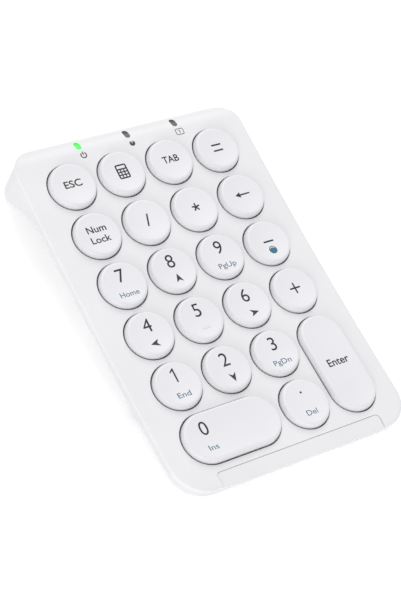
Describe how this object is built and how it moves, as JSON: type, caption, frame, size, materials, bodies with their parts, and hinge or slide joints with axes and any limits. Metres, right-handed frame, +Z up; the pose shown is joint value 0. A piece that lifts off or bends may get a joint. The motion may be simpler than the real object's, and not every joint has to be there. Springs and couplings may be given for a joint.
{
  "type": "numeric keypad",
  "caption": "Slim wireless numeric keypad with round dished keys on a concave deck and a battery hump along its rear edge.",
  "frame": {"origin": "on the table under the middle of the bounding box", "axes": "+X to the right, +Y to the rear edge with the status lights, +Z up"},
  "size_m": [0.089, 0.1302, 0.0191],
  "materials": {
    "case_white": "fine satin",
    "keycap_white": "satin",
    "trim_grey": "satin",
    "light_green": "lit, translucent",
    "light_dark": "smoked, translucent",
    "switch_film": "clear film",
    "plate_steel": "brushed",
    "dome_rubber": "matte",
    "link_plastic": "matte",
    "wire_steel": "drawn wire",
    "board_green": "solder mask",
    "chip_black": "moulded epoxy",
    "crystal_can": "drawn can",
    "led_body": "moulded",
    "connector_cream": "moulded",
    "battery_foil": "laminate pouch",
    "lead_red": "insulation",
    "socket_steel": "stamped",
    "switch_black": "moulded",
    "screw_steel": "zinc",
    "foot_rubber": "matte"
  },
  "bodies": {
    "case": {"power_light_window": "light_green", "wireless_light_window": "light_dark", "num_lock_light_window": "light_dark", "top_cover": "case_white", "bottom_cover": "case_white", "front_trim": "trim_grey", "membrane_top_film": "switch_film", "membrane_spacer": "switch_film", "membrane_bottom_film": "switch_film", "key_base_plate": "plate_steel", "rubber_domes": "dome_rubber", "scissor_outer_links": "link_plastic", "scissor_inner_links": "link_plastic", "circuit_board": "board_green", "microcontroller": "chip_black", "crystal": "crystal_can", "led_chips": "led_body", "ribbon_connector": "connector_cream", "membrane_tail": "switch_film", "battery": "battery_foil", "battery_connector": "connector_cream", "battery_leads": "lead_red", "usb_socket": "socket_steel", "power_switch_body": "switch_black", "case_screws": "screw_steel", "plate_screws": "screw_steel", "board_screws": "screw_steel", "front_feet": "foot_rubber", "rear_feet": "foot_rubber"},
    "key_esc": {"key_esc": "keycap_white"},
    "key_calculator": {"key_calculator": "keycap_white"},
    "key_tab": {"key_tab": "keycap_white"},
    "key_equals": {"key_equals": "keycap_white"},
    "key_num_lock": {"key_num_lock": "keycap_white"},
    "key_divide": {"key_divide": "keycap_white"},
    "key_multiply": {"key_multiply": "keycap_white"},
    "key_backspace": {"key_backspace": "keycap_white"},
    "key_7": {"key_7": "keycap_white"},
    "key_8": {"key_8": "keycap_white"},
    "key_9": {"key_9": "keycap_white"},
    "key_minus": {"key_minus": "keycap_white"},
    "key_4": {"key_4": "keycap_white"},
    "key_5": {"key_5": "keycap_white"},
    "key_6": {"key_6": "keycap_white"},
    "key_plus": {"key_plus": "keycap_white"},
    "key_1": {"key_1": "keycap_white"},
    "key_2": {"key_2": "keycap_white"},
    "key_3": {"key_3": "keycap_white"},
    "key_0": {"key_0": "keycap_white"},
    "key_decimal": {"key_decimal": "keycap_white"},
    "key_enter": {"key_enter": "keycap_white"},
    "zero_stabiliser_bar": {"zero_stabiliser_bar": "wire_steel"},
    "enter_stabiliser_bar": {"enter_stabiliser_bar": "wire_steel"},
    "power_switch_knob": {"power_switch_knob": "switch_black"}
  },
  "joints": [
    {"name": "key_esc_press", "type": "slide", "parent": "case", "child": "key_esc", "axis": [0, 0.1447, -0.9895], "range_m": [0, 0.0018], "stiffness_N_per_m": 250, "springref_m": -0.0008, "deforming": ["rubber_domes", "scissor_outer_links", "scissor_inner_links"]},
    {"name": "key_calculator_press", "type": "slide", "parent": "case", "child": "key_calculator", "axis": [0, 0.1447, -0.9895], "range_m": [0, 0.0018], "stiffness_N_per_m": 250, "springref_m": -0.0008, "deforming": ["rubber_domes", "scissor_outer_links", "scissor_inner_links"]},
    {"name": "key_tab_press", "type": "slide", "parent": "case", "child": "key_tab", "axis": [0, 0.1447, -0.9895], "range_m": [0, 0.0018], "stiffness_N_per_m": 250, "springref_m": -0.0008, "deforming": ["rubber_domes", "scissor_outer_links", "scissor_inner_links"]},
    {"name": "key_equals_press", "type": "slide", "parent": "case", "child": "key_equals", "axis": [0, 0.1447, -0.9895], "range_m": [0, 0.0018], "stiffness_N_per_m": 250, "springref_m": -0.0008, "deforming": ["rubber_domes", "scissor_outer_links", "scissor_inner_links"]},
    {"name": "key_num_lock_press", "type": "slide", "parent": "case", "child": "key_num_lock", "axis": [0, 0.1259, -0.992], "range_m": [0, 0.0018], "stiffness_N_per_m": 250, "springref_m": -0.0008, "deforming": ["rubber_domes", "scissor_outer_links", "scissor_inner_links"]},
    {"name": "key_divide_press", "type": "slide", "parent": "case", "child": "key_divide", "axis": [0, 0.1259, -0.992], "range_m": [0, 0.0018], "stiffness_N_per_m": 250, "springref_m": -0.0008, "deforming": ["rubber_domes", "scissor_outer_links", "scissor_inner_links"]},
    {"name": "key_multiply_press", "type": "slide", "parent": "case", "child": "key_multiply", "axis": [0, 0.1259, -0.992], "range_m": [0, 0.0018], "stiffness_N_per_m": 250, "springref_m": -0.0008, "deforming": ["rubber_domes", "scissor_outer_links", "scissor_inner_links"]},
    {"name": "key_backspace_press", "type": "slide", "parent": "case", "child": "key_backspace", "axis": [0, 0.1259, -0.992], "range_m": [0, 0.0018], "stiffness_N_per_m": 250, "springref_m": -0.0008, "deforming": ["rubber_domes", "scissor_outer_links", "scissor_inner_links"]},
    {"name": "key_7_press", "type": "slide", "parent": "case", "child": "key_7", "axis": [0, 0.107, -0.9943], "range_m": [0, 0.0018], "stiffness_N_per_m": 250, "springref_m": -0.0008, "deforming": ["rubber_domes", "scissor_outer_links", "scissor_inner_links"]},
    {"name": "key_8_press", "type": "slide", "parent": "case", "child": "key_8", "axis": [0, 0.107, -0.9943], "range_m": [0, 0.0018], "stiffness_N_per_m": 250, "springref_m": -0.0008, "deforming": ["rubber_domes", "scissor_outer_links", "scissor_inner_links"]},
    {"name": "key_9_press", "type": "slide", "parent": "case", "child": "key_9", "axis": [0, 0.107, -0.9943], "range_m": [0, 0.0018], "stiffness_N_per_m": 250, "springref_m": -0.0008, "deforming": ["rubber_domes", "scissor_outer_links", "scissor_inner_links"]},
    {"name": "key_minus_press", "type": "slide", "parent": "case", "child": "key_minus", "axis": [0, 0.107, -0.9943], "range_m": [0, 0.0018], "stiffness_N_per_m": 250, "springref_m": -0.0008, "deforming": ["rubber_domes", "scissor_outer_links", "scissor_inner_links"]},
    {"name": "key_4_press", "type": "slide", "parent": "case", "child": "key_4", "axis": [0, 0.0881, -0.9961], "range_m": [0, 0.0018], "stiffness_N_per_m": 250, "springref_m": -0.0008, "deforming": ["rubber_domes", "scissor_outer_links", "scissor_inner_links"]},
    {"name": "key_5_press", "type": "slide", "parent": "case", "child": "key_5", "axis": [0, 0.0881, -0.9961], "range_m": [0, 0.0018], "stiffness_N_per_m": 250, "springref_m": -0.0008, "deforming": ["rubber_domes", "scissor_outer_links", "scissor_inner_links"]},
    {"name": "key_6_press", "type": "slide", "parent": "case", "child": "key_6", "axis": [0, 0.0881, -0.9961], "range_m": [0, 0.0018], "stiffness_N_per_m": 250, "springref_m": -0.0008, "deforming": ["rubber_domes", "scissor_outer_links", "scissor_inner_links"]},
    {"name": "key_plus_press", "type": "slide", "parent": "case", "child": "key_plus", "axis": [0, 0.0881, -0.9961], "range_m": [0, 0.0018], "stiffness_N_per_m": 250, "springref_m": -0.0008, "deforming": ["rubber_domes", "scissor_outer_links", "scissor_inner_links"]},
    {"name": "key_1_press", "type": "slide", "parent": "case", "child": "key_1", "axis": [0, 0.0692, -0.9976], "range_m": [0, 0.0018], "stiffness_N_per_m": 250, "springref_m": -0.0008, "deforming": ["rubber_domes", "scissor_outer_links", "scissor_inner_links"]},
    {"name": "key_2_press", "type": "slide", "parent": "case", "child": "key_2", "axis": [0, 0.0692, -0.9976], "range_m": [0, 0.0018], "stiffness_N_per_m": 250, "springref_m": -0.0008, "deforming": ["rubber_domes", "scissor_outer_links", "scissor_inner_links"]},
    {"name": "key_3_press", "type": "slide", "parent": "case", "child": "key_3", "axis": [0, 0.0692, -0.9976], "range_m": [0, 0.0018], "stiffness_N_per_m": 250, "springref_m": -0.0008, "deforming": ["rubber_domes", "scissor_outer_links", "scissor_inner_links"]},
    {"name": "key_0_press", "type": "slide", "parent": "case", "child": "key_0", "axis": [0, 0.0497, -0.9988], "range_m": [0, 0.0018], "stiffness_N_per_m": 250, "springref_m": -0.0008, "deforming": ["rubber_domes", "scissor_outer_links", "scissor_inner_links"]},
    {"name": "key_decimal_press", "type": "slide", "parent": "case", "child": "key_decimal", "axis": [0, 0.0497, -0.9988], "range_m": [0, 0.0018], "stiffness_N_per_m": 250, "springref_m": -0.0008, "deforming": ["rubber_domes", "scissor_outer_links", "scissor_inner_links"]},
    {"name": "key_enter_press", "type": "slide", "parent": "case", "child": "key_enter", "axis": [0, 0.0592, -0.9982], "range_m": [0, 0.0018], "stiffness_N_per_m": 250, "springref_m": -0.0008, "deforming": ["rubber_domes", "scissor_outer_links", "scissor_inner_links"]},
    {"name": "zero_stabiliser_bar_swing", "type": "hinge", "parent": "case", "child": "zero_stabiliser_bar", "pos_m": [-0.019, -0.0463, 0.00409], "axis": [1, 0, 0], "range_deg": [-25.27, 0]},
    {"name": "enter_stabiliser_bar_swing", "type": "hinge", "parent": "case", "child": "enter_stabiliser_bar", "pos_m": [0.02627, -0.039, 0.0045], "axis": [0, 0.9982, 0.0592], "range_deg": [-25.27, 0]},
    {"name": "power_switch_slide", "type": "slide", "parent": "case", "child": "power_switch_knob", "axis": [1, 0, 0], "range_m": [0, 0.002]}
  ],
  "couplings": [
    {"joint": "zero_stabiliser_bar_swing", "follows": "key_0_press", "rad_per_m": -243.08},
    {"joint": "enter_stabiliser_bar_swing", "follows": "key_enter_press", "rad_per_m": -243.08}
  ]
}
